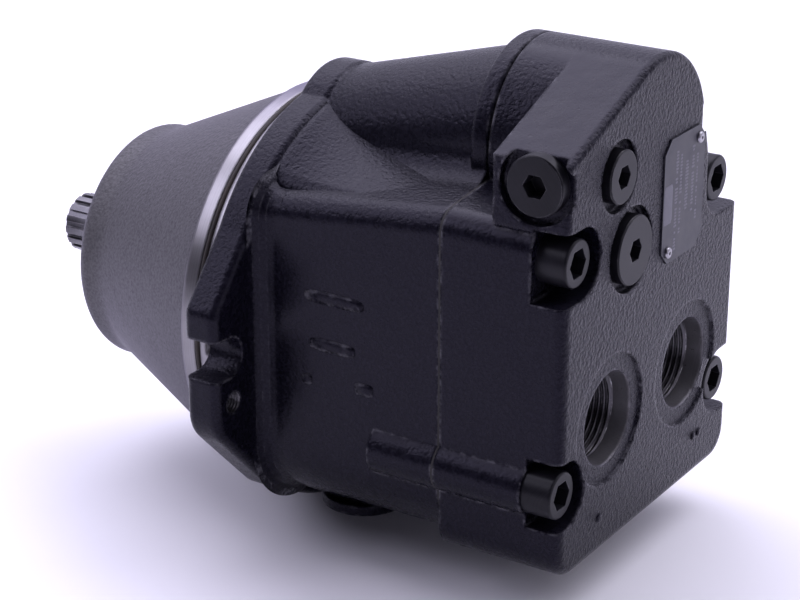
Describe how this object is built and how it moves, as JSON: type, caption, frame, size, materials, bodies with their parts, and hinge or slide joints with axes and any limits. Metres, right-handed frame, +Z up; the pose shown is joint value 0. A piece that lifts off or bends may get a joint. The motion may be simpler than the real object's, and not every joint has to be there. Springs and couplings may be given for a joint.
{
  "type": "axial piston pump",
  "caption": "Swashplate axial piston machine with a cartridge mounting flange, splined shaft, tapered nose, rear work ports and an end cap on cap screws.",
  "frame": {"origin": "centre of the mounting flange's front face, on the shaft axis", "axes": "+X along the shaft from the splined end towards the end cap and ports, +Z up, towards the servo bulge; the two bolt slots lie on the Y axis"},
  "size_m": [0.2761, 0.189, 0.201],
  "materials": {
    "painted_casting": "semi-gloss black paint over a sand casting; bare iron nose",
    "gasket_paper": "pressed fibre",
    "black_oxide": "black oxide with an oil film",
    "ground_steel": "ground, lightly oiled",
    "bearing_steel": "polished",
    "bearing_cage": "pressed sheet",
    "rubber": "moulded, matte",
    "bare_iron": "machined and as-cast grey iron",
    "bronze": "turned",
    "spring_steel": "drawn wire",
    "plate_black": "satin",
    "rivet_metal": "bright"
  },
  "bodies": {
    "casing": {"housing": "painted_casting", "end_cap": "painted_casting", "end_cap_gasket": "gasket_paper", "end_cap_screws": "black_oxide", "dowel_pins": "ground_steel", "static_o_rings": "rubber", "front_bearing_cup": "bearing_steel", "rear_bearing_shell": "bearing_steel", "seal_carrier": "bare_iron", "shaft_seal": "rubber", "seal_retaining_ring": "black_oxide", "swashplate": "bare_iron", "cradle_bearings": "bronze", "servo_piston": "ground_steel", "servo_piston_ring": "ground_steel", "servo_pin": "ground_steel", "servo_spring": "spring_steel", "valve_plate": "bronze", "shuttle_spring_near": "spring_steel", "shuttle_spring_far": "spring_steel", "shuttle_plugs": "black_oxide", "relief_seat": "ground_steel", "relief_spring": "spring_steel", "relief_plug": "black_oxide", "gauge_plug": "black_oxide", "nameplate": "plate_black", "nameplate_drive_screws": "rivet_metal"},
    "rotating_group": {"drive_shaft": "ground_steel", "front_bearing_cone": "bearing_steel", "cylinder_block": "bare_iron", "piston_1": "ground_steel", "piston_2": "ground_steel", "piston_3": "ground_steel", "piston_4": "ground_steel", "piston_5": "ground_steel", "piston_6": "ground_steel", "piston_7": "ground_steel", "piston_8": "ground_steel", "piston_9": "ground_steel", "slipper_1": "bronze", "slipper_2": "bronze", "slipper_3": "bronze", "slipper_4": "bronze", "slipper_5": "bronze", "slipper_6": "bronze", "slipper_7": "bronze", "slipper_8": "bronze", "slipper_9": "bronze", "slipper_retainer": "bronze", "ball_guide": "bare_iron", "hold_down_pins": "ground_steel", "block_spring": "spring_steel", "spring_seats": "bare_iron", "block_snap_ring": "black_oxide"},
    "front_roller_set": {"front_bearing_rollers": "bearing_steel", "front_bearing_cage": "bearing_cage"},
    "rear_needle_set": {"rear_bearing_rollers": "bearing_steel", "rear_bearing_cage": "bearing_cage"},
    "shuttle": {"shuttle_spool": "ground_steel"},
    "relief_valve": {"relief_poppet": "ground_steel"}
  },
  "joints": [
    {"name": "shaft_spin", "type": "hinge", "parent": "casing", "child": "rotating_group", "pos_m": [0, 0, 0], "axis": [1, 0, 0], "continuous": true},
    {"name": "front_cage_spin", "type": "hinge", "parent": "casing", "child": "front_roller_set", "pos_m": [-0.066, 0, 0], "axis": [1, 0, 0], "continuous": true},
    {"name": "rear_cage_spin", "type": "hinge", "parent": "casing", "child": "rear_needle_set", "pos_m": [0.106, 0, 0], "axis": [1, 0, 0], "continuous": true},
    {"name": "shuttle_slide", "type": "slide", "parent": "casing", "child": "shuttle", "axis": [0, 1, 0], "range_m": [-0.003, 0.003], "stiffness_N_per_m": 1500, "deforming": ["shuttle_spring_near", "shuttle_spring_far"]},
    {"name": "relief_slide", "type": "slide", "parent": "casing", "child": "relief_valve", "axis": [1, 0, 0], "range_m": [-0.0025, 0], "stiffness_N_per_m": 8000, "deforming": ["relief_spring"]}
  ],
  "couplings": [
    {"joint": "front_cage_spin", "follows": "shaft_spin", "ratio": 0.4335},
    {"joint": "rear_cage_spin", "follows": "shaft_spin", "ratio": 0.4545}
  ]
}
